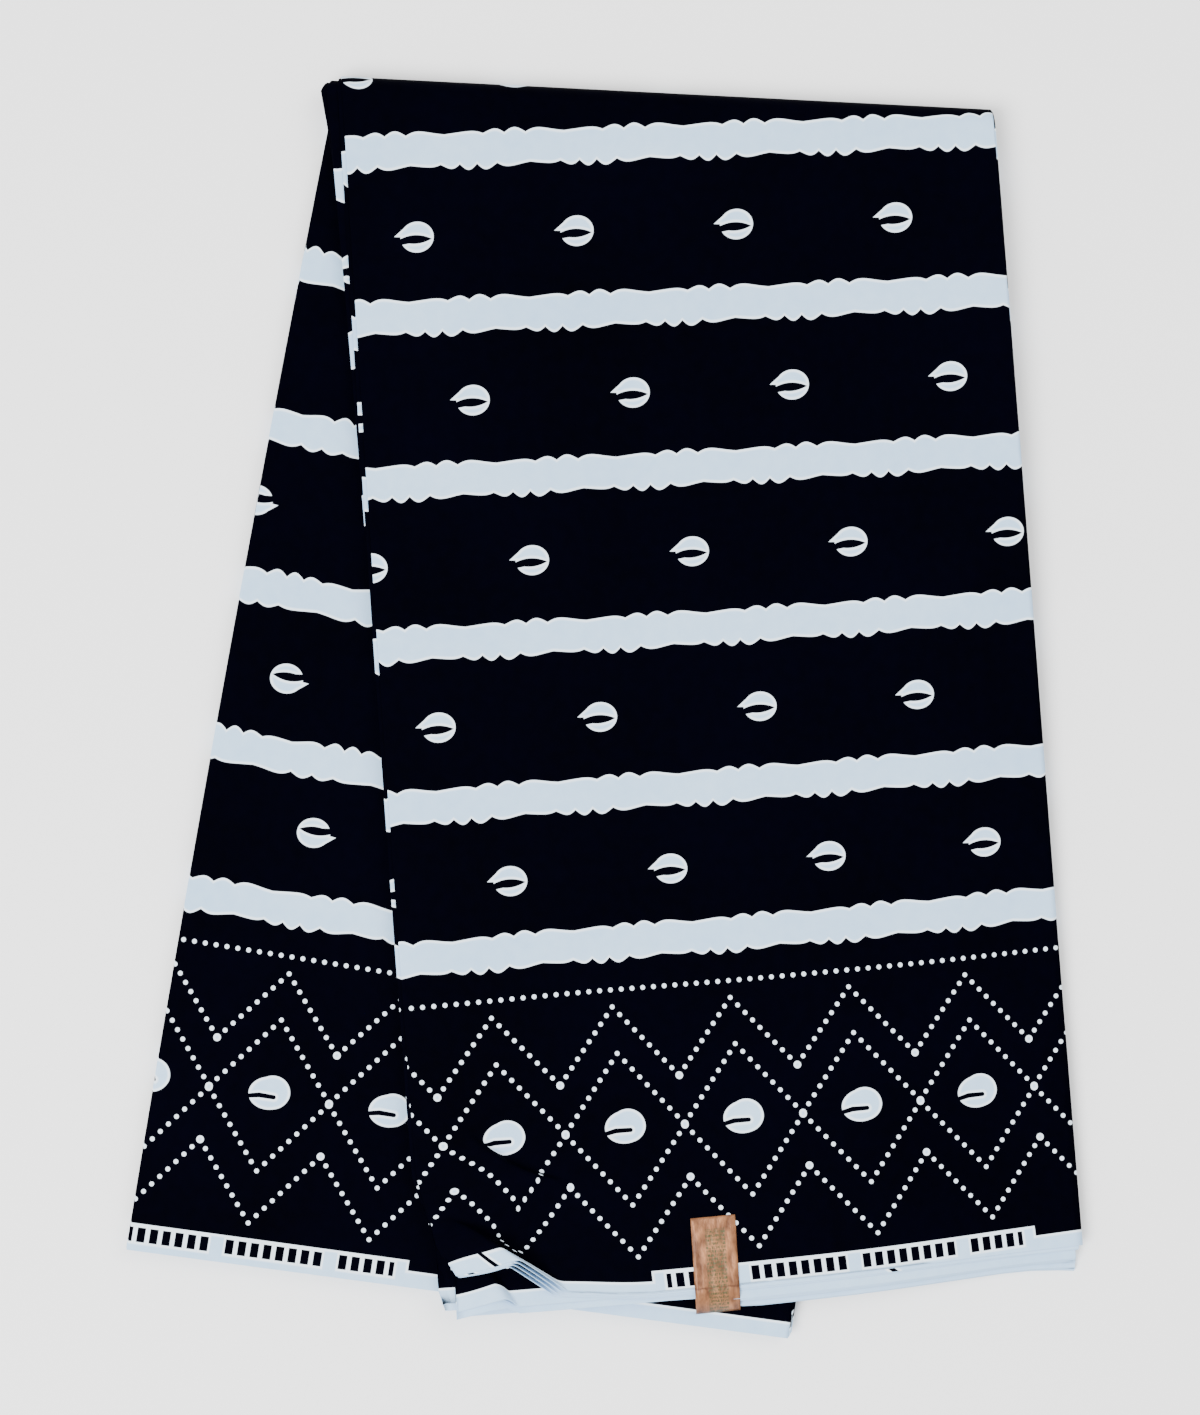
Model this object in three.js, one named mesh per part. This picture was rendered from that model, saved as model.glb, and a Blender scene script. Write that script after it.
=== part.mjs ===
// A length of wax print cotton, folded into sixteen leaves, the pack then folded in half.
// Millimetres. Z is up, the cloth lies on Z = 0, +Y points to the fold at its far end,
// and the origin is the middle of its outline. Each leaf is placed by (p, q): p runs
// across the leaf from its left long edge, q runs up from its cut or selvedge end.
import * as THREE from 'three';

// Driving sizes of the folded pack
const PACK = 9.0; // one half of the pack, sixteen leaves
const WALL = 1.0; // a leaf that shows
const GAP = 0.3; // between neighbouring pieces
const EDGE = 0.35; // rounding of a folded edge, inwards from its outline
const SHOULDER = 0.3; // rounding of a folded edge, as a share of the leaf's thickness
const FOLD_CORE = 3.4; // how far the innermost leaves reach round the fold
const FRONT_WIDTH = 324; // a leaf of the front half, from fold to fold
const BACK_WIDTH = 330; // a leaf of the back half

// The line that the pack is folded over: its left end, heading and length
const CREASE = { x: -129.5, y: 305.68, heading: THREE.MathUtils.degToRad(-2.95), length: 326.6 };

// Where the four corners of each half lie, how far its long edges bow between them,
// and how long each edge is from the open end to the crease
const FRONT = {
  width: FRONT_WIDTH,
  openLeft: { x: -85.4, y: -302.32 },
  openRight: { x: 234.4, y: -269.52 },
  creaseLeft: 0,
  creaseRight: CREASE.length,
  leftLength: 587.5,
  rightLength: 560.7,
  bow: { x: -7.6, y: -6.0 },
  endBow: { x: 4.1, y: -2.6 },
  leftBulge: 6.4,
  rightBulge: 8.5,
};
const BACK = {
  width: BACK_WIDTH,
  openLeft: { x: -234.4, y: -271.12 },
  openRight: { x: 94.9, y: -314.92 },
  creaseLeft: -4.5,
  creaseRight: 322.9,
  leftLength: 563.2,
  rightLength: 622.3,
  bow: { x: -2.9, y: -2.8 },
  endBow: { x: 0, y: 0 },
  leftBulge: 0,
  rightBulge: 0,
};

// Past the side and the open end of the back half, the front half sinks to the table
const SINK = { sideStart: 16, sideRun: 95, endStart: 8, endRun: 62 };

// Two soft folds run across the near left corner of the upper leaves. Each starts at a
// foot line, takes up some cloth, rises on a short steep flank and falls away behind it.
const CORNER_FOLDS = [
  {
    x: -94.9,
    y: -204.22,
    heading: -38,
    grow: [5, 35],
    fade: [70, 92],
    takeUp: 8.5,
    flank: 15,
    rise: 4.5,
    fall: 45,
  },
  {
    x: -79.9,
    y: -245.72,
    heading: -36,
    grow: [2, 54],
    fade: [200, 220],
    takeUp: 24,
    flank: 34,
    rise: 10,
    fall: 70,
  },
];

// Outlines of the leaves against the corners of their half. left and right are how far
// the long edges stand out at the open end and at the crease, and end is how far the open
// end reaches out left and right of STEP. hollow is how far its middle is drawn in.
const STEP = [126, 152];
const PANEL = { left: [0, 0], right: [0, 0], end: [-0.4, -0.2], hollow: 2.4 };
const FLUSH = { left: [0, 0], right: [0, 0], end: [0, 0], hollow: 0 };
const UNDER = { left: [-0.6, -0.6], right: [0.2, 0.2], end: [-12, -12], hollow: 0 };

// Leaves that peep out beyond the front panel. depth is from the middle of the pack.
const PEEPING = [
  { name: 'leaf_a', depth: 6.6, left: [2.0, 2.3], right: [-1.0, 0.4], end: [0.6, 2.6], hollow: 1.2 },
  { name: 'leaf_b', depth: 5.2, left: [0.6, 9.4], right: [-3.5, 0.2], end: [1.4, 4.2], hollow: 0.6 },
];

// Hidden leaves, as the layers that show round the edge of one rounded solid
const FRONT_LAYERS = [
  { top: 1.6, left: [0.2, 10.4], right: [-4.8, -0.8], end: [2.6, 8.6], hollow: 0 },
  { top: 3.4, left: [-1.2, 11.0], right: [-3.8, 0.4], end: [3.0, 7.2], hollow: 0 },
  { top: 4.9, left: [0.4, 11.2], right: [-4.4, -0.4], end: [2.2, 5.2], hollow: 0 },
];
const BACK_LAYERS = [
  { top: 3.4, left: [-1.0, -1.0], right: [0.6, 0.6], end: [-3.0, -3.0], hollow: 0 },
  { top: 5.6, left: [0.4, 0.4], right: [-0.8, -0.8], end: [-6.0, -6.0], hollow: 0 },
  { top: 7.7, left: [-1.2, -1.2], right: [0.4, 0.4], end: [-9.0, -9.0], hollow: 0 },
];

// Lines that the pieces are built over: a start, then stretches of [to, steps]. P is in
// millimetres and T is the share of the way to the crease. The outermost P and T lines of
// a leaf lie outside it, and are drawn in to its outline.
const LINES = {
  backP: [-30, [30, 1], [300, 6], [360, 1]],
  backT: [-0.1, [0.04, 1], [0.96, 9], [1.1, 1]],
  frontP: [-30, [4, 1], [116, 4], [316, 11], [360, 1]],
  frontT: [-0.1, [0.007, 1], [0.205, 7], [0.95, 9], [1.1, 1]],
  cornerP: [-30, [4, 1], [116, 12], [316, 11], [360, 1]],
  cornerT: [-0.1, [0.007, 1], [0.205, 14], [0.95, 9], [1.1, 1]],
  foldLayersAcross: [0, [1, 6]],
  foldLayersRound: [0, [1, 12]],
  foldAcross: [0, [1, 8]],
  foldRound: [0, [1, 14]],
  labelAcross: [0, [1, 3]],
};

// The foil label, stuck over the open end of the front panel
const LABEL = { p: 131.7, q: 37.3, width: 22, length: 48.3, thick: 0.5, lean: -3.8, bend: 34.8, drop: 9 };

const along = new THREE.Vector2(Math.cos(CREASE.heading), Math.sin(CREASE.heading));
const beyond = new THREE.Vector2(-along.y, along.x);

function ramp(from, to, value) {
  return THREE.MathUtils.smoothstep(value, from, to);
}

// A straight ramp from 0 to 1 with softened ends
function flankRamp(value) {
  const soft = 0.14;
  const u = THREE.MathUtils.clamp(value, 0, 1);
  if (u < soft) return (u * u) / (2 * soft * (1 - soft));
  if (u > 1 - soft) return 1 - ((1 - u) * (1 - u)) / (2 * soft * (1 - soft));
  return (u - soft / 2) / (1 - soft);
}

function creasePoint(distance) {
  return new THREE.Vector2(CREASE.x, CREASE.y).addScaledVector(along, distance);
}

function creaseDistance(half, p) {
  return THREE.MathUtils.lerp(half.creaseLeft, half.creaseRight, p / half.width);
}

function lengthAt(half, p) {
  return THREE.MathUtils.lerp(half.leftLength, half.rightLength, p / half.width);
}

// Plan position of the point (p, q) of a half
function plan(half, p, q) {
  const s = p / half.width;
  const t = q / lengthAt(half, p);
  const open = new THREE.Vector2(half.openLeft.x, half.openLeft.y);
  open.lerp(new THREE.Vector2(half.openRight.x, half.openRight.y), s);
  const point = open.lerp(creasePoint(creaseDistance(half, p)), t);
  const bow = 4 * t * (1 - t);
  const endBow = 4 * s * (1 - s) * (1 - t);
  point.x += bow * half.bow.x + endBow * half.endBow.x;
  point.y += bow * half.bow.y + endBow * half.endBow.y;
  return point;
}

// Distance of a plan point to the left of the line from a to b
function sideOf(point, a, b) {
  const dx = b.x - a.x;
  const dy = b.y - a.y;
  return (dx * (point.y - a.y) - dy * (point.x - a.x)) / Math.hypot(dx, dy);
}

// 1 where the front half lies on the back half, 0 where it lies on the table
function carried(point) {
  const farRight = creasePoint(BACK.creaseRight);
  const side = sideOf(point, BACK.openRight, farRight) * -1;
  const end = sideOf(point, BACK.openLeft, BACK.openRight) * -1;
  const overSide = ramp(SINK.sideStart, SINK.sideStart + SINK.sideRun, side);
  const overEnd = ramp(SINK.endStart, SINK.endStart + SINK.endRun, end);
  return (1 - overSide) * (1 - overEnd);
}

// Moves a plan point over the corner folds and returns how far it is lifted
function foldCorner(point) {
  let lift = 0;
  for (const fold of CORNER_FOLDS) {
    const heading = THREE.MathUtils.degToRad(fold.heading);
    const direction = new THREE.Vector2(Math.cos(heading), Math.sin(heading));
    const across = new THREE.Vector2(direction.y, -direction.x);
    const from = new THREE.Vector2(point.x - fold.x, point.y - fold.y);
    const run = from.dot(direction);
    const behind = from.dot(across);
    const size = ramp(fold.grow[0], fold.grow[1], run) * (1 - ramp(fold.fade[0], fold.fade[1], run));
    const flank = fold.flank - fold.takeUp + fold.takeUp * size;
    const climb = flankRamp(behind / flank);
    point.addScaledVector(across, -fold.takeUp * size * climb);
    lift += fold.rise * size * climb * (1 - ramp(flank, flank + fold.fall, behind));
  }
  return lift;
}

// The long edges of a leaf at t, 0 at the open end and 1 at the crease
function edges(half, outline, t) {
  const bulge = 4 * t * (1 - t);
  const left = half.leftBulge * bulge - THREE.MathUtils.lerp(outline.left[0], outline.left[1], t);
  const out = THREE.MathUtils.lerp(outline.right[0], outline.right[1], t);
  const right = half.width + half.rightBulge * bulge + out;
  return { left, right };
}

// How far the open end of a leaf reaches out at p
function endAt(half, outline, p) {
  const s = THREE.MathUtils.clamp(p / half.width, 0, 1);
  const out = THREE.MathUtils.lerp(outline.end[0], outline.end[1], ramp(STEP[0], STEP[1], p));
  return out - 4 * s * (1 - s) * outline.hollow;
}

// A point of a leaf of a half, from its p and its share t of the way to the crease. Lines
// of equal p bulge with the long edges. Both are held to the leaf's own outline, so that
// leaves share every line but the outermost.
function leafPoint(half, outline, p, t, inset) {
  const length = lengthAt(half, p);
  const end = (inset - endAt(half, outline, p)) / length;
  const share = THREE.MathUtils.clamp(t, end, 1 - GAP / 2 / length);
  const { left, right } = edges(half, outline, share);
  const bulge = THREE.MathUtils.lerp(half.leftBulge, half.rightBulge, p / half.width);
  const line = p + 4 * share * (1 - share) * bulge;
  const across = THREE.MathUtils.clamp(line, left + inset, right - inset);
  return plan(half, across, share * lengthAt(half, across));
}

// The upper leaves follow the corner folds, and the rest lie flat
function frontPoint(outline, p, t, depth, inset) {
  const point = leafPoint(FRONT, outline, p, t, inset);
  const lift = depth < PEEPING[1].depth ? 0 : foldCorner(point);
  const rest = carried(point);
  const z = PACK * rest - (GAP / 2) * (1 - rest) + depth + lift;
  return new THREE.Vector3(point.x, point.y, z);
}

function backPoint(outline, p, t, depth, inset) {
  const point = leafPoint(BACK, outline, p, t, inset);
  return new THREE.Vector3(point.x, point.y, PACK - depth);
}

// Round the fold: v runs from the front half over the far side to the back half
function foldPoint(outline, u, v, depth, inset) {
  const turn = v * Math.PI;
  const left = THREE.MathUtils.lerp(FRONT.creaseLeft, BACK.creaseLeft, v) - outline.left[1] * (1 - v);
  const right = THREE.MathUtils.lerp(FRONT.creaseRight, BACK.creaseRight, v) + outline.right[1];
  const axis = creasePoint(THREE.MathUtils.lerp(left + inset, right - inset, u));
  axis.addScaledVector(beyond, GAP / 2 + depth * Math.sin(turn));
  return new THREE.Vector3(axis.x, axis.y, PACK + depth * Math.cos(turn));
}

function lines([from, ...stretches]) {
  const values = [from];
  for (const [to, steps] of stretches) {
    const start = values[values.length - 1];
    for (let i = 1; i <= steps; i += 1) values.push(start + ((to - start) * i) / steps);
  }
  return values;
}

// A closed body between the lowest and the highest of its levels. The two end levels
// are grids over columns and rows, and the ones between are only their rims.
function closedBody(columns, rows, levels, place) {
  const positions = [];
  const index = [];
  const addPoint = (u, v, level) => {
    const point = place(u, v, level);
    positions.push(point.x, point.y, point.z);
    return positions.length / 3 - 1;
  };
  const lastColumn = columns.length - 1;
  const lastRow = rows.length - 1;
  const rimCells = [];
  for (let i = 0; i < lastColumn; i += 1) rimCells.push([i, 0]);
  for (let j = 0; j < lastRow; j += 1) rimCells.push([lastColumn, j]);
  for (let i = lastColumn; i > 0; i -= 1) rimCells.push([i, lastRow]);
  for (let j = lastRow; j > 0; j -= 1) rimCells.push([0, j]);
  const addGrid = (level) => columns.map((u) => rows.map((v) => addPoint(u, v, level)));
  const fillGrid = (grid, flipped) => {
    for (let i = 0; i < lastColumn; i += 1) {
      for (let j = 0; j < lastRow; j += 1) {
        const [a, b, c, d] = [grid[i][j], grid[i + 1][j], grid[i + 1][j + 1], grid[i][j + 1]];
        if (flipped) index.push(a, c, b, a, d, c);
        else index.push(a, b, c, a, c, d);
      }
    }
  };
  const low = addGrid(levels[0]);
  const rims = [rimCells.map(([i, j]) => low[i][j])];
  for (const level of levels.slice(1, -1)) {
    rims.push(rimCells.map(([i, j]) => addPoint(columns[i], rows[j], level)));
  }
  const high = addGrid(levels[levels.length - 1]);
  rims.push(rimCells.map(([i, j]) => high[i][j]));
  fillGrid(low, true);
  fillGrid(high, false);
  for (let k = 0; k < rims.length - 1; k += 1) {
    for (let a = 0; a < rimCells.length; a += 1) {
      const b = (a + 1) % rimCells.length;
      index.push(rims[k][a], rims[k][b], rims[k + 1][b]);
      index.push(rims[k][a], rims[k + 1][b], rims[k + 1][a]);
    }
  }
  const geometry = new THREE.BufferGeometry();
  geometry.setAttribute('position', new THREE.Float32BufferAttribute(positions, 3));
  geometry.setIndex(signedVolume(positions, index) < 0 ? index.reverse() : index);
  geometry.computeVertexNormals();
  return geometry;
}

function signedVolume(positions, index) {
  const corner = (i) => new THREE.Vector3().fromArray(positions, 3 * i);
  let sum = 0;
  for (let k = 0; k < index.length; k += 3) {
    sum += corner(index[k]).dot(corner(index[k + 1]).cross(corner(index[k + 2])));
  }
  return sum / 6;
}

// Levels of one leaf: its two faces, drawn in at the rim so that the edge is round
function leafLevels(depth, thick, outline) {
  return [
    { depth, inset: EDGE, outline },
    { depth: depth + thick * SHOULDER, inset: 0, outline },
    { depth: depth + thick * (1 - SHOULDER), inset: 0, outline },
    { depth: depth + thick, inset: EDGE, outline },
  ];
}

// Levels of several leaves in one solid, each with its own rounded edge
function layerLevels(bottom, layers) {
  let floor = bottom;
  return layers.flatMap((layer) => {
    const levels = leafLevels(floor, layer.top - floor, layer);
    floor = layer.top;
    return levels;
  });
}

function fabric(colour) {
  return new THREE.MeshStandardMaterial({ color: colour, roughness: 0.85, metalness: 0 });
}

const NAVY = 0x05061a;
const PALE = 0xcbd9e8;
const FOIL = 0xb98a6a;

const group = new THREE.Group();

function add(name, geometry, material) {
  const mesh = new THREE.Mesh(geometry, material);
  mesh.name = name;
  group.add(mesh);
}

const level = (kind) => (u, v, at) => kind(at.outline, u, v, at.depth, at.inset);

// The outer leaf where it lies on the table
const backColumns = lines(LINES.backP);
const backRows = lines(LINES.backT);
const under = leafLevels(PACK - WALL, WALL, UNDER);
add('under_panel', closedBody(backColumns, backRows, under, level(backPoint)), fabric(NAVY));

// Hidden leaves of the back half
const backRest = layerLevels(GAP / 2 + WALL + GAP, BACK_LAYERS);
add('back_layers', closedBody(backColumns, backRows, backRest, level(backPoint)), fabric(PALE));

// The inner leaf of the back half, which shows at the left and along the near end
const backPanel = leafLevels(GAP / 2, WALL, FLUSH);
add('back_panel', closedBody(backColumns, backRows, backPanel, level(backPoint)), fabric(NAVY));

// Hidden leaves of the front half
const frontColumns = lines(LINES.frontP);
const frontRows = lines(LINES.frontT);
const frontRest = layerLevels(GAP / 2, FRONT_LAYERS);
const frontLayers = closedBody(frontColumns, frontRows, frontRest, level(frontPoint));
add('front_layers', frontLayers, fabric(PALE));

// The upper leaves, with closer lines where their corner is folded: two that peep out
// past the left edge of the front panel, and the panel itself
const cornerColumns = lines(LINES.cornerP);
const cornerRows = lines(LINES.cornerT);
for (const leaf of PEEPING) {
  const levels = leafLevels(leaf.depth, WALL, leaf);
  add(leaf.name, closedBody(cornerColumns, cornerRows, levels, level(frontPoint)), fabric(NAVY));
}
const panel = leafLevels(PACK - WALL, WALL, PANEL);
add('front_panel', closedBody(cornerColumns, cornerRows, panel, level(frontPoint)), fabric(NAVY));

// Hidden leaves and the outer leaf where they turn over the fold
const foldRest = layerLevels(GAP / 2, [
  { ...FRONT_LAYERS[2], top: FOLD_CORE },
  { ...PEEPING[1], top: PEEPING[1].depth + WALL },
  { ...PEEPING[0], top: PEEPING[0].depth + WALL },
]);
const foldLayers = closedBody(
  lines(LINES.foldLayersAcross),
  lines(LINES.foldLayersRound),
  foldRest,
  level(foldPoint),
);
add('fold_layers', foldLayers, fabric(NAVY));
const foldSkin = leafLevels(PACK - WALL, WALL, PANEL);
const topFold = closedBody(lines(LINES.foldAcross), lines(LINES.foldRound), foldSkin, level(foldPoint));
add('top_fold', topFold, fabric(NAVY));

// The label lies on the front panel and bends down over its open end
function labelPoint(u, v, at) {
  const down = v * LABEL.length;
  const lean = THREE.MathUtils.degToRad(LABEL.lean);
  const p = LABEL.p + u * LABEL.width + down * Math.sin(lean);
  const past = Math.max(0, down - LABEL.bend) / (LABEL.length - LABEL.bend);
  const point = plan(FRONT, p, LABEL.q - down * Math.cos(lean));
  const seat = PACK * carried(point) + PACK + GAP; // just above the front panel
  return new THREE.Vector3(point.x, point.y, seat + at.depth - LABEL.drop * past * past);
}
const labelLevels = [{ depth: 0 }, { depth: LABEL.thick }];
const foil = new THREE.MeshStandardMaterial({ color: FOIL, roughness: 0.4, metalness: 0.5 });
const labelDown = lines([0, [LABEL.bend / LABEL.length, 3], [1, 7]]);
add('label', closedBody(lines(LINES.labelAcross), labelDown, labelLevels, labelPoint), foil);

export default group;
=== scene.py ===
import math

import bmesh
import bpy
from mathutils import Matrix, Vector, noise


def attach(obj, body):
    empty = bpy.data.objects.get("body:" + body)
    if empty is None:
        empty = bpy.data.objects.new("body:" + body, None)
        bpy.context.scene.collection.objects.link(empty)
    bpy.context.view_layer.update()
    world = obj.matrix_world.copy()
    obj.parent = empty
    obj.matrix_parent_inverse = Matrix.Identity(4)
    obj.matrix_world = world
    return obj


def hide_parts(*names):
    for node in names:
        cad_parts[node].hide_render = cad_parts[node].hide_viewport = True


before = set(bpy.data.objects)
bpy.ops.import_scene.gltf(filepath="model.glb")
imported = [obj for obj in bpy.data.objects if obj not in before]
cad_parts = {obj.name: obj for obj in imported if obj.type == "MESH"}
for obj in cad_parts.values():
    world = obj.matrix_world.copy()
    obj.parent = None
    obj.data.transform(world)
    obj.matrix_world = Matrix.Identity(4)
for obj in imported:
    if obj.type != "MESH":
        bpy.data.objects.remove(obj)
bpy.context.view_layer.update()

# Camera: almost straight above the near end of the pack, 1.5 m away, looking a little
# towards the fold at the far end.
aim = Vector((-0.00059, -0.00327, 0.009))
elevation = math.radians(87)
camera_data = bpy.data.cameras.new("camera")
camera_data.sensor_width = 36
camera_data.lens = 76.63
camera_data.clip_start = 0.05
camera_data.clip_end = 20
camera = bpy.data.objects.new("camera", camera_data)
camera.location = aim + 1.5 * Vector((0, -math.cos(elevation), math.sin(elevation)))
camera.rotation_euler = (math.pi / 2 - elevation, 0, 0)
bpy.context.collection.objects.link(camera)
bpy.context.scene.camera = camera


# Table and light: a plain pale table top, one broad soft lamp overhead and a little to the
# near left, and an even pale surround.
def light(name, place, size, power):
    data = bpy.data.lights.new(name, "AREA")
    data.shape = "DISK"
    data.size = size
    data.energy = power
    lamp = bpy.data.objects.new(name, data)
    lamp.location = place
    lamp.rotation_euler = Vector(place).to_track_quat("Z", "Y").to_euler()
    bpy.context.collection.objects.link(lamp)


light("soft_lamp", (-1.1, -0.9, 2.2), 1.6, 120)
light("fill_lamp", (1.3, 1.0, 2.0), 1.8, 36)
world = bpy.data.worlds.new("surround")
world.use_nodes = True
world.node_tree.nodes["Background"].inputs["Color"].default_value = (1.0, 1.0, 1.0, 1)
world.node_tree.nodes["Background"].inputs["Strength"].default_value = 1.3
bpy.context.scene.world = world

table_mesh = bmesh.new()
bmesh.ops.create_grid(table_mesh, x_segments=1, y_segments=1, size=4)
table_data = bpy.data.meshes.new("table")
table_mesh.to_mesh(table_data)
table_mesh.free()
table = bpy.data.objects.new("table", table_data)
bpy.context.collection.objects.link(table)
table_finish = bpy.data.materials.new("white_table")
table_finish.use_nodes = True
table_finish.node_tree.nodes["Principled BSDF"].inputs["Base Color"].default_value = (0.94, 0.94, 0.94, 1)
table_finish.node_tree.nodes["Principled BSDF"].inputs["Roughness"].default_value = 0.9
table_data.materials.append(table_finish)


# Front panel: the outer leaf of the folded cloth, which lies uppermost and carries the
# print. At its left edge it turns under into the next leaf, at the far end the whole pack
# turns over, and its near left corner is ruffled into two soft folds. Waxed cotton.
# Lengths are in millimetres. A leaf is placed by (p, q): p runs across it from its left
# edge, q up from its open end. leaf 15 is the outermost leaf and 0 the innermost.
pack = 9.0
leaf_pitch = 0.553
cloth_thickness = 0.3
loop_radius = leaf_pitch / 2
cloth_width = 1193.55
crease = Vector((-129.5, 305.68))
crease_heading = math.radians(-2.95)
crease_along = Vector((math.cos(crease_heading), math.sin(crease_heading)))
crease_beyond = Vector((-crease_along.y, crease_along.x))
# left and right: how far each pair of leaves stands out, at the open end and at the crease,
# innermost pair first. end: how far each leaf reaches out, left and right of the label.
front_half = {
    "width": 324,
    "open": (Vector((-85.4, -302.32)), Vector((234.4, -269.52))),
    "crease": (0, 326.6),
    "length": (587.5, 560.7),
    "bow": Vector((-7.6, -6.0)),
    "end_bow": Vector((4.1, -2.6)),
    "bulge": (6.4, 8.5),
    "left": [(0.2, 10.2), (-0.4, 10.5), (-1.2, 10), (0.4, 10.8), (0.4, 11), (0.6, 8.0), (2.0, 2.3), (0, 0)],
    "right": [
        (-0.6, -1), (-0.4, -0.8), (-0.7, 0), (-0.3, 0.4), (-0.9, -0.4),
        (-1.4, -0.2), (-0.4, 0.2), (1.4, 0.4), (3.8, 0),
    ],
    "end": [
        (2.2, 9.8), (2.0, 9.6), (2.1, 9.4), (2.4, 9.2), (2.3, 9.0), (2.2, 8.9), (-1.2, 6.8), (-4.5, 6.6),
        (2.3, 6.4), (2.5, 6.3), (-0.6, 6.1), (-0.8, 5.9), (0.9, 5.6), (0.6, 1.5), (0.2, 1.2), (-0.4, -0.2),
    ],
    "hollow": [0, 0, 0, 0, 0, 0, 0, 0, 0, 0.2, 0.5, 0.6, 0.9, 1.2, 1.8, 2.4],
    "droop": 3.9,
    "tuck": [
        (6.5, 9, 0.06), (6.5, 9, 0.06), (6.5, 9, 0.06), (6.6, 2.6, 0.021),
        (6.5, 8, 0.06), (6.5, 8.5, 0.06), (3.5, 0, 0.06), (1, 0, 0.06),
    ],
}
back_half = {
    "width": 330,
    "open": (Vector((-234.4, -271.12)), Vector((94.9, -314.92))),
    "crease": (-4.5, 322.9),
    "length": (563.2, 622.3),
    "bow": Vector((-2.9, -2.8)),
    "end_bow": Vector((0, 0)),
    "bulge": (0, 0),
    "left": [(out, out) for out in (0, -0.3, -1.2, -0.8, 0.4, -0.4, -1.2, -0.6)],
    "right": [
        (-2.6, 0), (-2.2, 0), (-1.6, 0.6), (-1.8, 0.4), (-2.4, -0.6),
        (-1.6, 0.4), (-2.4, -0.8), (-1.4, 0.3), (-1.2, 0.2),
    ],
    "end": [(-0.8 * leaf, -0.8 * leaf) for leaf in range(16)],
    "hollow": [0] * 16,
    "droop": 0,
    "tuck": [(0, 0, 1)] * 8,
}
# The near left corner is ruffled. The four top leaves lie over two asymmetric folds, and
# the next four over a small one of their own. A fold has a foot line, bent by bow, and
# behind it a flank that climbs to a crest. Past the crest the cloth is carried along by
# take_up, across the fold, and slide, along it: a constant, and more by run and by depth.
top_folds = [
    {"at": Vector((-87, -173)), "heading": -41, "bow": -14, "grow": (32, 68), "fade": (78, 100),
     "width": 3, "rise": 4.5, "fall": 45, "take_up": Vector((8, 0, 0)), "slide": Vector((0, 0, 0))},
    {"at": Vector((-56, -260)), "heading": -45, "bow": 9, "grow": (-22, 27), "fade": (200, 220),
     "width": 3.5, "rise": 11, "fall": 40, "take_up": Vector((27, 8, 10)), "slide": Vector((-5, -25, -21))},
]
second_folds = [
    {"at": Vector((-48, -286)), "heading": -56, "bow": 0, "grow": (-20, 4), "fade": (200, 220),
     "width": 4.5, "rise": 4, "fall": 24, "take_up": Vector((4.8, 0, -14)), "slide": Vector((2.6, 0, -8))},
]


def mix(a, b, share):
    return a + (b - a) * share


def clamp(value, low, high):
    return max(low, min(high, value))


def ramp(start, stop, value):
    share = clamp((value - start) / (stop - start), 0, 1)
    return share * share * (3 - 2 * share)


def flank_ramp(value):
    soft = 0.14
    share = clamp(value, 0, 1)
    if share < soft:
        return share * share / (2 * soft * (1 - soft))
    if share > 1 - soft:
        return 1 - (1 - share) ** 2 / (2 * soft * (1 - soft))
    return (share - soft / 2) / (1 - soft)


def length_at(half, p):
    return mix(*half["length"], p / half["width"])


def crease_at(half, p):
    return mix(*half["crease"], p / half["width"])


def plan(half, p, q):
    share = p / half["width"]
    up = q / length_at(half, p)
    point = mix(mix(*half["open"], share), crease + crease_along * crease_at(half, p), up)
    bow = 4 * up * (1 - up)
    end_bow = 4 * share * (1 - share) * (1 - up)
    return point + bow * half["bow"] + end_bow * half["end_bow"]


def right_of(point, start, stop):
    run = (stop - start).normalized()
    return (point.x - start.x) * run.y - (point.y - start.y) * run.x


# How much of the front half's height comes from the back half beneath it: all of it over
# that half, and none out on the table
def carried(point):
    side = right_of(point, back_half["open"][1], crease + crease_along * back_half["crease"][1])
    end = right_of(point, back_half["open"][0], back_half["open"][1])
    return (1 - ramp(16, 111, side)) * (1 - ramp(8, 70, end))


# Gathers a point over the folds of the near left corner, and returns how far it is lifted
def fold_corner(point, leaf):
    lift = 0
    for fold in top_folds if leaf > 11 else second_folds:
        heading = math.radians(fold["heading"])
        direction = Vector((math.cos(heading), math.sin(heading)))
        across = Vector((direction.y, -direction.x))
        nested = 2.2 * (15 - leaf) if leaf > 11 else 1.4 * (11 - leaf)
        run = (point - fold["at"]).dot(direction)
        behind = (point - fold["at"]).dot(across) - nested + 4 * fold["bow"] * run / 95 * (1 - run / 95)
        size = ramp(*fold["grow"], run) * (1 - ramp(*fold["fade"], run))
        flank = fold["width"] + fold["take_up"][0] * size
        climb = size * flank_ramp(behind / flank)
        past = behind + nested - flank
        reach = Vector((1, run / 50 - 1, past / 50))
        point -= (across * reach.dot(fold["take_up"]) + direction * reach.dot(fold["slide"])) * climb
        lift += fold["rise"] * climb * (1 - ramp(0, fold["fall"], past))
    return lift


# How far the open end of the four top leaves is pulled up beside their folds
def pulled_up(leaf, p, q):
    return 5 * ramp(0, 60, 60 - abs(p - 51.9)) * (1 - ramp(0, 46.5, q)) * (leaf > 11)


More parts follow.
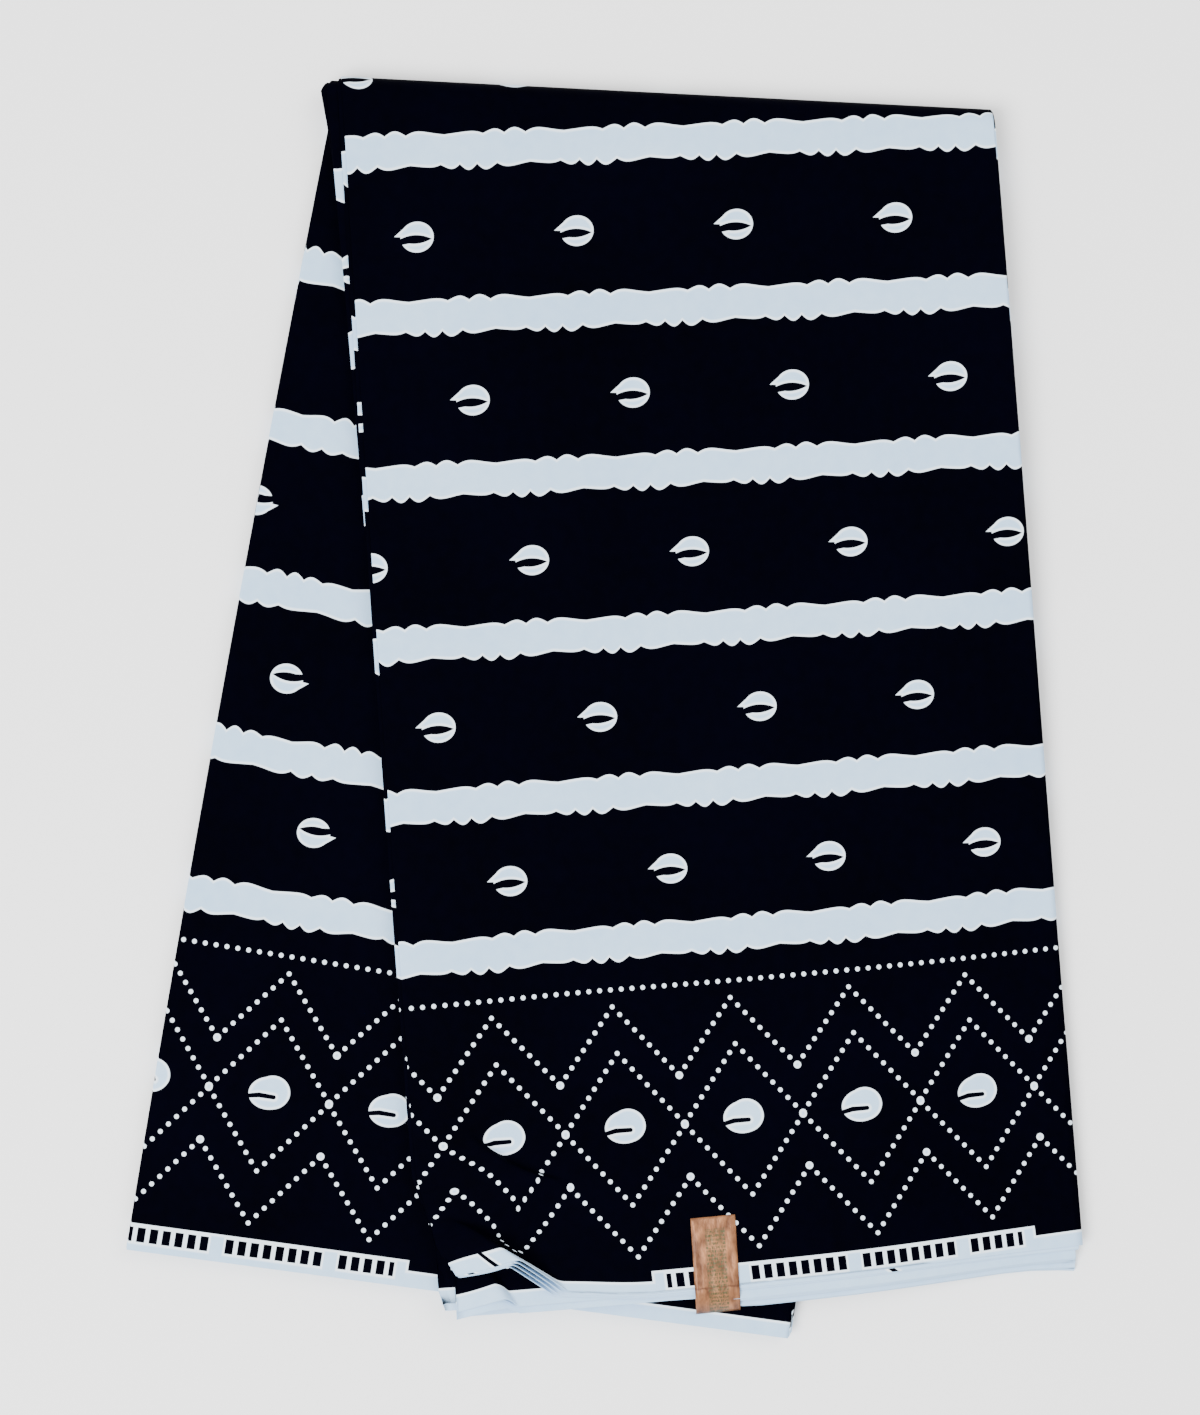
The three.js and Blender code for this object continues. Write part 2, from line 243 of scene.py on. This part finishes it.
def side_edges(half, leaf, up):
    bulge = 4 * up * (1 - up)
    tuck, more, stop = half["tuck"][leaf // 2]
    drawn_in = tuck * (1 - ramp(0.055, 0.115, up)) + more * (1 - ramp(stop - 0.026, stop, up))
    spread = max(0, up) ** (8 if leaf < 10 else 3)
    left = half["bulge"][0] * bulge - mix(*half["left"][leaf // 2], spread) + drawn_in
    right = half["width"] + half["bulge"][1] * bulge + mix(*half["right"][(leaf + 1) // 2], up)
    return left, right


def end_at(half, leaf, p):
    share = clamp(p / half["width"], 0, 1)
    droop = half["droop"] * (15 - leaf) / 15 * clamp((p - 285) / 39, 0, 1) ** 2
    return mix(*half["end"][leaf], ramp(126, 152, p)) - 4 * share * (1 - share) * half["hollow"][leaf] + droop


def leaf_depth(leaf):
    return 0.15 + (leaf + 0.5) * leaf_pitch


# A station is a line across the cloth: a leaf, the p it runs at, and, on the loop where a
# leaf turns under into the next one, how far round the loop it is
def station_place(half, station, up):
    leaf, line, turn = station
    left, right = side_edges(half, leaf, up)
    if turn is None:
        bulge = mix(*half["bulge"], clamp(line / half["width"], 0, 1))
        p = clamp(line + 4 * up * (1 - up) * bulge, left + loop_radius, right - loop_radius)
        return p, leaf_depth(leaf)
    if leaf % 2:
        p = left + loop_radius * (1 - math.sin(turn))
    else:
        p = right - loop_radius * (1 - math.sin(turn))
    return p, leaf_depth(leaf) - loop_radius * (1 - math.cos(turn))


# Where a point of a leaf is in the uncut length: (along, across) as the print runs
def print_across(half, leaf, p, up):
    if half is back_half:
        order = 15 - leaf
        eased = p * 328.2 / 330 + 4.4 * ramp(0.52, 0.6, up)
        return -eased - (order - 1) * 328.2 if order % 2 else eased - order * 328.2
    if leaf == 15:
        q = up * length_at(half, p)
        return p - 2 * (1 - ramp(60, 190, p)) * (1 - ramp(160, 240, q)) * ramp(20, 90, q)
    left, right = side_edges(half, leaf, up)
    turn = left if leaf % 2 == 0 else right
    return print_across(half, leaf + 1, turn, up) - abs(p - turn) - 3.2


def print_up(half, leaf, p, q, up):
    if half is front_half:
        sunk = [(7, 12)] * 10 + [(10, 4)] * 2 + [(1.5, 5.5)] * 3 + [(0, 0)]
        settle = ramp(0, 0.25, up)
        shift = end_at(half, leaf, p) if leaf < 15 else 0
        ease = 1.3 * math.sin(math.pi * clamp((q - 247) / 311, 0, 1))
        if leaf == 15:
            sag = 2.8 * (1 - ramp(-20, 110, p)) * (1 - ramp(170, 360, q)) * ramp(-10, 60, q)
            return q + ease + sag
        return q + ease + mix(shift, sunk[leaf][0] + sunk[leaf][1] * up, settle)
    spare = cloth_width - length_at(back_half, p) - length_at(front_half, p) - math.pi * leaf_depth(15)
    return cloth_width - q - end_at(half, leaf, p) * (1 - up) - spare * leaf / 15 * ramp(0.4, 1, up)


# A row is a line along the cloth. Rows run up the front half, round the crease and down
# the back half, as ("front", share of the way up), ("round", turn) and ("back", share).
def cloth_point(station, row):
    part, value = row
    leaf = station[0]
    if part == "round":
        front_p, depth = station_place(front_half, station, 1)
        back_p, depth = station_place(back_half, station, 1)
        distance = mix(crease_at(front_half, front_p), crease_at(back_half, back_p), value)
        turn = value * math.pi
        point = crease + crease_along * distance + crease_beyond * depth * math.sin(turn)
        starts = (print_across(front_half, leaf, front_p, 1), print_across(back_half, leaf, back_p, 1))
        front_q = print_up(front_half, leaf, front_p, length_at(front_half, front_p), 1)
        back_q = print_up(back_half, leaf, back_p, length_at(back_half, back_p), 1)
        place = (point.x, point.y, pack + depth * math.cos(turn))
        return place, (mix(*starts, value), mix(front_q, back_q, value))
    half = front_half if part == "front" else back_half
    near, inset = value if isinstance(value, tuple) else (value, 0)
    p, depth = station_place(half, station, clamp(near, 0, 1))
    lowest = (inset - end_at(half, leaf, p)) / length_at(half, p)
    up = max(near, lowest)
    p, depth = station_place(half, station, up)
    q = up * length_at(half, p)
    point = plan(half, p, q)
    uv = (print_across(half, leaf, p, up), print_up(half, leaf, p, q, up))
    if half is back_half:
        return (point.x, point.y, pack - depth), uv
    swell = 0.4 * noise.noise(Vector((point.x / 46, point.y / 60, 0.5)))
    swell *= ramp(8, 40, p) * ramp(0, 30, 560 - up * 590)
    point = plan(half, p, q + pulled_up(leaf, p, q))
    lift = fold_corner(point, leaf) if leaf > 7 else 0
    rest = carried(point)
    return (point.x, point.y, pack * rest - 0.15 * (1 - rest) + depth + lift + swell * depth / pack), uv


def steps(start, *stretches):
    values = [start]
    for stop, count in stretches:
        first = values[-1]
        values += [mix(first, stop, i / count) for i in range(1, count + 1)]
    return values


# Stations over a run of leaves, each from edge to edge, joined by loops. Odd leaves run
# from right to left and even ones back.
def leaf_stations(leaves, lines, first_from=-1e3, last_to=1e3):
    stations = []
    for leaf in leaves:
        across = [-1e3] + lines + [1e3]
        if leaf == leaves[0]:
            across = [p for p in across if p >= first_from]
        if leaf == leaves[-1]:
            across = [p for p in across if p <= last_to]
        if leaf % 2:
            across.reverse()
        stations += [(leaf, p, None) for p in across]
        if leaf != leaves[-1]:
            stations += [(leaf, 0, math.pi * i / 6) for i in range(1, 6)]
    return stations


def make_cloth(name, stations, rows, finish):
    mesh = bmesh.new()
    columns, lines = len(stations) - 1, len(rows) - 1
    bmesh.ops.create_grid(mesh, x_segments=columns, y_segments=lines, size=0.5)
    places = {}
    for vert in mesh.verts:
        column = round((vert.co.x + 0.5) * columns)
        line = round((vert.co.y + 0.5) * lines)
        place, uv = cloth_point(stations[column], rows[line])
        vert.co = Vector(place) / 1000
        places[vert] = Vector(uv) / 1000
    chart = mesh.loops.layers.uv.new("cloth")
    bake = mesh.loops.layers.uv.new("OFBake")
    low = [min(uv[i] for uv in places.values()) for i in (0, 1)]
    span = [max(uv[i] for uv in places.values()) - low[i] for i in (0, 1)]
    for face in mesh.faces:
        face.smooth = True
        for loop in face.loops:
            uv = places[loop.vert]
            loop[chart].uv = uv
            loop[bake].uv = [0.002 + 0.996 * (uv[i] - low[i]) / span[i] for i in (0, 1)]
    data = bpy.data.meshes.new(name)
    mesh.to_mesh(data)
    mesh.free()
    data.materials.append(finish)
    cloth = bpy.data.objects.new(name, data)
    bpy.context.collection.objects.link(cloth)
    wall = cloth.modifiers.new("wall", "SOLIDIFY")
    wall.thickness = cloth_thickness / 1000
    wall.offset = 0
    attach(cloth, "root")
    return cloth


# The print: pale resist lines on a near-black ground. mask distances are in millimetres,
# above 0 where the cloth is pale.
class Wire:
    def __init__(self, tree, socket):
        self.tree = tree
        self.socket = socket

    def node(self, kind, settings, sockets, output=0):
        made = self.tree.nodes.new(kind)
        for key, value in settings.items():
            setattr(made, key, value)
        for key, value in sockets.items():
            if isinstance(value, Wire):
                self.tree.links.new(value.socket, made.inputs[key])
            else:
                made.inputs[key].default_value = value
        return Wire(self.tree, made.outputs[output])

    def math(self, operation, *values):
        return self.node("ShaderNodeMath", {"operation": operation}, dict(enumerate(values)))

    def __add__(self, other):
        return self.math("ADD", self, other)

    def __radd__(self, other):
        return self.math("ADD", other, self)

    def __sub__(self, other):
        return self.math("SUBTRACT", self, other)

    def __rsub__(self, other):
        return self.math("SUBTRACT", other, self)

    def __mul__(self, other):
        return self.math("MULTIPLY", self, other)

    def __rmul__(self, other):
        return self.math("MULTIPLY", other, self)

    def __truediv__(self, other):
        return self.math("DIVIDE", self, other)

    def __neg__(self):
        return self.math("MULTIPLY", self, -1)

    def __abs__(self):
        return self.math("ABSOLUTE", self)

    def __gt__(self, other):
        return self.math("GREATER_THAN", self, other)

    def __lt__(self, other):
        return self.math("LESS_THAN", self, other)

    def floor(self):
        return self.math("FLOOR", self)

    def part(self):
        return self.math("FRACT", self)

    def root(self):
        return self.math("SQRT", self)

    def sine(self):
        return self.math("SINE", self)

    def most(self, other):
        return self.math("MAXIMUM", self, other)

    def least(self, other):
        return self.math("MINIMUM", self, other)

    def held(self):
        return self.node("ShaderNodeClamp", {}, {0: self, 1: 0, 2: 1})

    def cloud(self, scale, detail):
        sockets = {"Vector": self, "Scale": scale, "Detail": detail}
        return self.node("ShaderNodeTexNoise", {"noise_dimensions": "2D"}, sockets)

    def from_repeat(self, period):
        return ((self / period + 0.5).part() - 0.5) * period

    def blend(self, low, high):
        made = self.tree.nodes.new("ShaderNodeMix")
        made.data_type = "RGBA"
        self.tree.links.new(self.socket, made.inputs[0])
        for index, colour in ((6, low), (7, high)):
            if isinstance(colour, Wire):
                self.tree.links.new(colour.socket, made.inputs[index])
            else:
                made.inputs[index].default_value = (*colour, 1)
        return Wire(self.tree, made.outputs[2])


def hypotenuse(x, y):
    return (x * x + y * y).root()


def ellipse(x, y, half_x, half_y):
    reach = hypotenuse(x / half_x, y / half_y)
    return (1 - reach) * min(half_x, half_y)


# A rounded stroke that may taper from one radius to the other
def stroke(x, y, start, stop, radius, last_radius):
    run = Vector(stop) - Vector(start)
    share = (((x - start[0]) * run.x + (y - start[1]) * run.y) / run.length_squared).held()
    reach = hypotenuse(x - start[0] - share * run.x, y - start[1] - share * run.y)
    return radius + share * (last_radius - radius) - reach


def turned(x, y, degrees):
    c, s = math.cos(math.radians(degrees)), math.sin(math.radians(degrees))
    return x * c + y * s, y * c - x * s


# Repeats of the print: the rows of stripes, the zigzags, and a zigzag's dots
row_pitch = 77.75
first_row = 246.9
zigzag_pitch = 59.58
dot_step = 3.31
dot_radius = 1.48


def print_finish():
    finish = bpy.data.materials.new("wax_print_cotton")
    finish.use_nodes = True
    tree = finish.node_tree
    shader = tree.nodes["Principled BSDF"]
    chart = tree.nodes.new("ShaderNodeUVMap")
    chart.uv_map = "cloth"
    start = Wire(tree, chart.outputs["UV"])
    p = start.node("ShaderNodeSeparateXYZ", {}, {0: start}, 0) * 1000
    q = start.node("ShaderNodeSeparateXYZ", {}, {0: start}, 1) * 1000

    # The two borders are alike, turned half round, one along each selvedge
    far = q > cloth_width / 2
    border_q = q + far * (cloth_width - 2 * q)
    border_p = p + far * (47.39 - 4594.8 - 2 * p)

    # Stripes in evenly spaced rows. Each edge is a line of uneven scallops, four or five
    # to a repeat of the print.
    row = ((q - first_row) / row_pitch + 0.5).floor()
    inside = border_q > 225
    stripe_q = inside * (q - first_row - row * row_pitch) + (1 - inside) * (border_q - 174.7)
    turn = (inside * (p - 20 * row) + (1 - inside) * border_p) * (2 * math.pi / zigzag_pitch)
    upper = abs((2 * turn + turn.sine()).sine()) * (0.5 + 0.2 * (turn + 1).sine())
    lower = abs((2.5 * turn + (turn + 2).sine()).sine()) * (0.45 + 0.25 * (turn + 3).sine())
    stripe_top = 7.2 + 3.3 * upper - stripe_q
    stripe_bottom = 7.6 + 4.2 * lower + stripe_q
    stripes = stripe_top.least(stripe_bottom)

    # Small cowries between the stripes, each row set back from the one below
    gap_row = ((q - first_row) / row_pitch).floor()
    drift = 2 * (gap_row > 2.5) - 1.6 * (gap_row > 0.5) * (gap_row < 1.5) + 1.5 * (gap_row < -0.5)
    shell_x = (p - 33.26 - drift + gap_row * 26.48).from_repeat(79.44)
    shift = 1.8 * (gap_row < -0.5) - 2.8 * (gap_row > 8.5) + 3.8 * (gap_row > 7.5) * (gap_row < 8.5)
    shell_y = q - first_row - row_pitch * (gap_row + 0.5) + 1.75 - shift
    x, y = turned(shell_x, shell_y, 3.5)
    body = ellipse(x, y, 8.6, 7.5).most(stroke(x, y, (-5.5, 2.6), (-11.2, 1.2), 2.6, 0.35))
    slit_x, slit_y = turned(x + 1.1, y + 1.0, -3)
    slit = 1.75 - slit_x * slit_x / 34 - abs(slit_y)
    slit = slit.most(stroke(x, y, (-3.5, -1.4), (-12, -1.7), 0.9, 1.2))
    small_shells = body.least(-slit).least(border_q - 192)

    # Border: a line of dots, four dotted zigzags and large cowries in the diamonds
    wave = (border_p - 104.09).from_repeat(zigzag_pitch)
    fold = abs(wave)
    dots = dot_radius - hypotenuse((border_p - 104.09).from_repeat(zigzag_pitch / 11), border_q - 151.5)
    for peak, low in ((143.2, 107.5), (120.5, 83.7), (46.3, 83.2), (20.7, 57.6)):
        rise = (peak - low) / 9
        count = ((fold * dot_step + (peak - border_q) * rise) / (dot_step**2 + rise**2) + 0.5).floor()
        count = count.most(0).least(9)
        reach = hypotenuse(fold - dot_step * count, border_q - peak + rise * count)
        dots = dots.most(dot_radius + 0.7 * (count > 8.5) - reach)
    x, y = turned(wave, border_q - 84.5, 6)
    shell = ellipse(x, y, 10.6, 8.3).most(ellipse(x - 1.6, y - 0.4, 8.9, 8.5))
    shells = shell.least(-stroke(x, y, (-12, -1.7), (-5, -1.0), 0.7, 0.9))
    shells = shells.least(-stroke(x, y, (-5, -1.0), (2.3, -1.9), 0.9, 0.75))

    # Selvedge: a pale band with a taller box along it, where the lettering is left off and
    # rows of plain upright bars stand in, and a few slanted black ticks
    box_p = (border_p + far * 119.2 - 206.7).from_repeat(7 * zigzag_pitch)
    box = (13.6 - border_q).least(97.5 - abs(box_p)).least((p + 20).most(99 * far - 50))
    bars = (1.7 - abs((box_p - 3.1).from_repeat(6.2))).least(3.2 - abs(border_q - 7.9)).least(box)
    spaced = ((box_p / 6.2).floor() / 9).part() > 0.06
    bars = bars.least(6 * spaced - 3).least(90 - abs(box_p))
    pale = (8.5 - border_q).most(box).least(-bars)
    ticks = 0.75 - abs(p - 20.5 + 0.58 * (q - 4)) / 1.16
    for place in (-5, -226):
        ticks = ticks.most(0.75 - abs(p - place - 1.2 * (q - 4)) / 1.56)
    pale = pale.least(-(ticks.least(8.5 - border_q)))

    depth = stripes.most(small_shells).most(dots).most(shells).most(pale)
    mask = (depth / 0.25 - 0.9).held()
    # The pale print carries painted light: a bluish painted shade inside its shapes and a white painted
    # highlight within 1 to 2 mm of their edges.
    painted_edge_highlight = (1.9 - depth).held()
    grain = start.cloud(160, 3)
    tone = start.cloud(14, 2)
    worn = ((grain - 0.5) * 0.6 + 0.5 + (tone - 0.5) * 0.7).held()
    pale_painted_shade = worn.blend((0.35, 0.54, 0.76), (0.48, 0.65, 0.84))
    resist = painted_edge_highlight.blend(pale_painted_shade, (0.78, 0.88, 0.96))
    ground = worn.blend((0.0001, 0.0001, 0.0009), (0.0003, 0.0003, 0.003))
    colour = mask.blend(ground, resist)
    tree.links.new(colour.socket, shader.inputs["Base Color"])
    roughness = 0.72 + 0.12 * mask
    tree.links.new(roughness.socket, shader.inputs["Roughness"])
    shader.inputs["Specular IOR Level"].default_value = 0.008

    # Plain weave, about 30 threads to the centimetre, and faint pressed creases
    warp = (p * (2 * math.pi / 0.33)).sine()
    weft = (q * (2 * math.pi / 0.36)).sine()
    relief = warp * weft * 0.00002 + (tone - 0.5) * 0.0004
    bump = start.node("ShaderNodeBump", {}, {"Strength": 0.5, "Distance": 1.0, "Height": relief})
    tree.links.new(bump.socket, shader.inputs["Normal"])
    return finish


wax_print = print_finish()
corner_lines = steps(0.9, (3, 1), (116, 62), (316, 25), (323, 1))
corner_rows = [("front", (-0.1, 0)), ("front", (-0.1, 0.4))]
corner_rows += [("front", share) for share in steps(0.004, (0.205, 64), (0.95, 55), (1, 3))]
round_rows = [("round", share) for share in steps(0, (1, 12))[1:]]
front_stations = leaf_stations([15, 14], corner_lines, last_to=31)
front_panel = make_cloth("front_leaf", front_stations, corner_rows + round_rows, wax_print)
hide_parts("front_panel", "top_fold")

# Leaves a and b: the next leaves of the upper half, which peep out past the left edge of
# the front panel. They are the same cloth, looped back and forth beneath it.
leaf_a_stations = leaf_stations([14, 13, 12], corner_lines, first_from=30, last_to=31)
leaf_a = make_cloth("upper_leaf_a", leaf_a_stations, corner_rows + round_rows, wax_print)
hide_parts("leaf_a")
leaf_b_stations = leaf_stations([12, 11, 10], corner_lines, first_from=30)
leaf_b = make_cloth("upper_leaf_b", leaf_b_stations, corner_rows + round_rows, wax_print)
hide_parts("leaf_b")

# Inner leaves of the upper half and where they turn over the crease. Only their loops and
# selvedges show, round the edge of the pack.
inner_lines = steps(0.9, (4, 1), (116, 14), (316, 13), (323, 1))
inner_rows = [("front", (-0.1, 0)), ("front", (-0.1, 0.4))]
inner_rows += [("front", share) for share in steps(0.006, (0.205, 15), (0.95, 27), (1, 2))]
inner_rows += [("round", share) for share in steps(0, (1, 8))[1:]]
inner_stations = [(10, 0, math.pi * i / 6) for i in range(6)]
inner_stations += leaf_stations(list(range(9, -1, -1)), inner_lines)
inner_leaves = make_cloth("inner_leaves", inner_stations, inner_rows, wax_print)
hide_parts("front_layers", "fold_layers")

# Back panel: the innermost leaf of the lower half, which shows at the left and along the
# near end, with the loop that it turns under by.
back_lines = steps(0.9, (5, 1), (325, 40), (329, 1))
back_rows = [("back", share) for share in steps(1, (0.99, 1), (0.006, 60))]
back_rows += [("back", (-0.1, 0.4)), ("back", (-0.1, 0))]
back_loop = [(1, p, None) for p in (37, 21, 5, 0.9, -1e3)] + [(1, 0, math.pi * i / 6) for i in range(1, 6)]
back_panel = make_cloth("back_leaf", back_loop + leaf_stations([0], back_lines), back_rows, wax_print)
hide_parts("back_panel")

# Inner leaves of the lower half, whose loops and selvedges show round its edge.
under_lines = steps(0.9, (5, 1), (325, 16), (329, 1))
under_rows = [("back", share) for share in steps(1, (0.99, 1), (0.006, 28))]
under_rows += [("back", (-0.1, 0.4)), ("back", (-0.1, 0))]
lower_stations = leaf_stations(list(range(14, 0, -1)), under_lines, first_from=25)
lower_leaves = make_cloth("lower_leaves", lower_stations, under_rows, wax_print)
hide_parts("back_layers")

# Under panel: the outer leaf of the cloth where it lies on the table.
under_stations = leaf_stations([15, 14], under_lines, last_to=26)
under_panel = make_cloth("under_leaf", under_stations, under_rows, wax_print)
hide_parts("under_panel")

# Label: a strip of copper-coloured foil, stuck over the open end of the pack so that it
# bends down over the leaves. Its lettering is left off, with plain green bars in its place.
label_width = 22
label_length = 48.3
label_bend = 34.8
label_drop = 9
label_p = 131.7
label_q = 37.3
label_mesh = bmesh.new()
bmesh.ops.create_grid(label_mesh, x_segments=12, y_segments=36, size=0.5)
label_chart = label_mesh.loops.layers.uv.new("label")
for face in label_mesh.faces:
    face.smooth = True
    for loop in face.loops:
        loop[label_chart].uv = (loop.vert.co.x + 0.5, 0.5 - loop.vert.co.y)
for vert in label_mesh.verts:
    across, down = vert.co.x + 0.5, (0.5 - vert.co.y) * label_length
    lean = math.radians(-3.8)
    p = label_p + across * label_width + down * math.sin(lean)
    point = plan(front_half, p, label_q - down * math.cos(lean))
    past = max(0, down - label_bend) / (label_length - label_bend)
    seat = pack * carried(point) + pack + 0.55 + 0.25 * noise.noise(Vector((across * 2.5, down / 9, 4)))
    vert.co = Vector((point.x, point.y, seat - label_drop * past * past)) / 1000
label_data = bpy.data.meshes.new("label")
label_mesh.to_mesh(label_data)
label_mesh.free()
label = bpy.data.objects.new("label_strip", label_data)
bpy.context.collection.objects.link(label)
label_wall = label.modifiers.new("wall", "SOLIDIFY")
label_wall.thickness = 0.00025
label_wall.offset = 0
foil = bpy.data.materials.new("copper_foil")
foil.use_nodes = True
foil_shader = foil.node_tree.nodes["Principled BSDF"]
foil_chart = foil.node_tree.nodes.new("ShaderNodeUVMap")
foil_chart.uv_map = "label"
spot = Wire(foil.node_tree, foil_chart.outputs["UV"])
foil_x = spot.node("ShaderNodeSeparateXYZ", {}, {0: spot}, 0) * label_width
foil_y = spot.node("ShaderNodeSeparateXYZ", {}, {0: spot}, 1) * label_length
blotch = spot.cloud(5, 3)
speck = spot.cloud(34, 2)
foil_rows = (0.75 - abs(foil_y.from_repeat(1.9))).least(4.9 - abs(foil_x - 11.6)).least(foil_y - 6)
foil_rows = (foil_rows * 2 + 0.5).held() * ((speck - 0.3) * 3).held()
# The foil is painted darker in a band along its bend, a painted shade, on top of its random blotches.
foil_bend_shade = (1 - abs(foil_y - label_bend + (blotch - 0.5) * 2) / 0.7).held()
foil_blotches_and_bend_shade = ((blotch - 0.5) * 2.4 + 0.5 - foil_bend_shade * 0.6).held()
copper = foil_blotches_and_bend_shade.blend((0.10, 0.036, 0.014), (0.34, 0.145, 0.062))
faded = foil_rows.blend(copper, (0.055, 0.055, 0.02))
foil.node_tree.links.new(faded.socket, foil_shader.inputs["Base Color"])
foil_dent = spot.node("ShaderNodeBump", {}, {"Strength": 0.5, "Distance": 1.0, "Height": blotch * 0.0012})
foil.node_tree.links.new(foil_dent.socket, foil_shader.inputs["Normal"])
foil_shader.inputs["Roughness"].default_value = 0.45
foil_shader.inputs["Metallic"].default_value = 0.3
foil_shader.inputs["Specular IOR Level"].default_value = 0.3
label_data.materials.append(foil)
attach(label, "root")
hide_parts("label")
